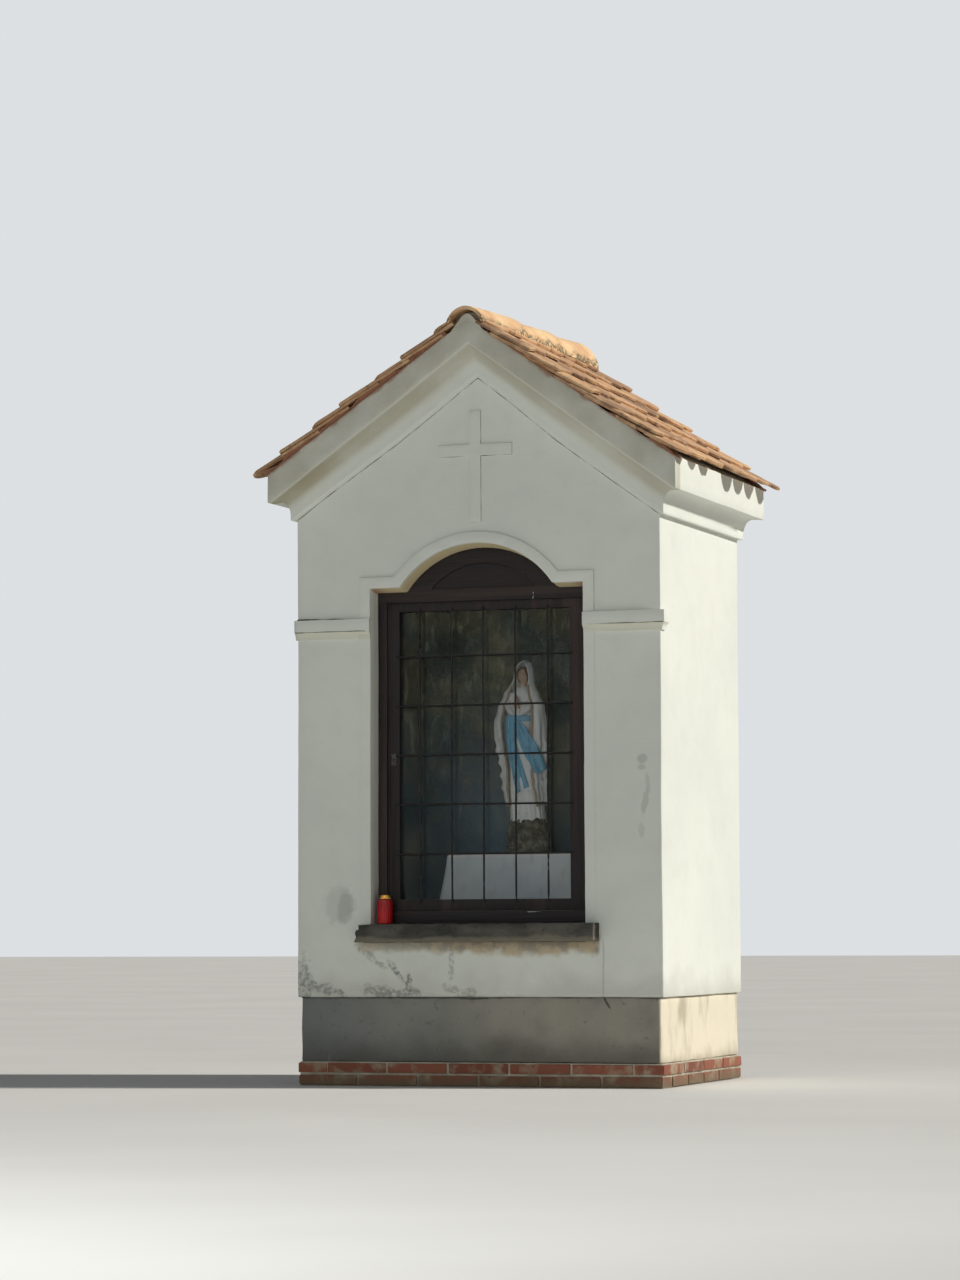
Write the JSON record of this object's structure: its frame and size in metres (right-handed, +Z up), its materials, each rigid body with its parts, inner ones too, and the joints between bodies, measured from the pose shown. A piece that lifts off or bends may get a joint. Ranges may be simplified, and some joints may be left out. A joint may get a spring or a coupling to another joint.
{
  "type": "wayside shrine",
  "caption": "Small white plastered wayside shrine with a tiled gable roof, moulded cornice and a barred glazed niche holding a Madonna figure on an altar.",
  "frame": {"origin": "centre of the footprint on the lowest ground that the base reaches", "axes": "+Z up, -Y out of the glazed front, +X to the right seen from the front"},
  "size_m": [1.8508, 1.34, 3.0749],
  "materials": {
    "brick": "rough weathered red brick with pale joints",
    "cement_render": "rough grey cement render",
    "lime_plaster": "matt white lime plaster, peeled in places",
    "niche_paint": "matt slate blue paint on plaster",
    "sill_stone": "rough dark grey stone",
    "roof_boards": "rough sawn boards",
    "roof_tile": "weathered plain clay tiles",
    "mortar": "rough lime mortar",
    "dark_timber": "dark brown painted wood, dull",
    "glass": "clear thin window glass",
    "iron": "black painted wrought iron",
    "lock_metal": "worn bare metal",
    "altar_masonry": "white washed masonry",
    "white_cloth": "white linen",
    "statue_rock": "painted plaster rock",
    "statue_white": "painted plaster, satin",
    "statue_skin": "painted plaster, satin",
    "statue_blue": "painted plaster, satin",
    "candle_red": "red translucent plastic jar",
    "candle_gold": "thin gold coloured sheet lid"
  },
  "bodies": {
    "root": {"altar_block": "altar_masonry", "altar_cloth": "white_cloth", "back_wall": "lime_plaster", "brick_footing": "brick", "candle_jar": "candle_red", "candle_lid": "candle_gold", "eaves_cornice_left": "lime_plaster", "eaves_cornice_right": "lime_plaster", "frame_bottom_rail": "dark_timber", "frame_head": "dark_timber", "frame_jamb_left": "dark_timber", "frame_jamb_right": "dark_timber", "front_apron": "lime_plaster", "front_gable": "lime_plaster", "front_pier_left": "lime_plaster", "front_pier_right": "lime_plaster", "gable_cross": "lime_plaster", "grille": "iron", "impost_left": "lime_plaster", "impost_right": "lime_plaster", "leaf_frame": "dark_timber", "leaf_glass": "glass", "lock_plate": "lock_metal", "niche_floor": "niche_paint", "niche_vault": "niche_paint", "opening_border": "lime_plaster", "plinth": "cement_render", "rake_cornice_back_left": "lime_plaster", "rake_cornice_back_right": "lime_plaster", "rake_cornice_front_left": "lime_plaster", "rake_cornice_front_right": "lime_plaster", "ridge_mortar": "mortar", "ridge_tiles": "roof_tile", "roof_boards_left": "roof_boards", "roof_boards_right": "roof_boards", "roof_tiles_left": "roof_tile", "roof_tiles_right": "roof_tile", "side_wall_left": "lime_plaster", "side_wall_right": "lime_plaster", "statue_base": "statue_rock", "statue_hands": "statue_skin", "statue_head": "statue_skin", "statue_robe": "statue_white", "statue_sash": "statue_blue", "statue_veil": "statue_white", "window_sill": "sill_stone"}
  },
  "joints": []
}
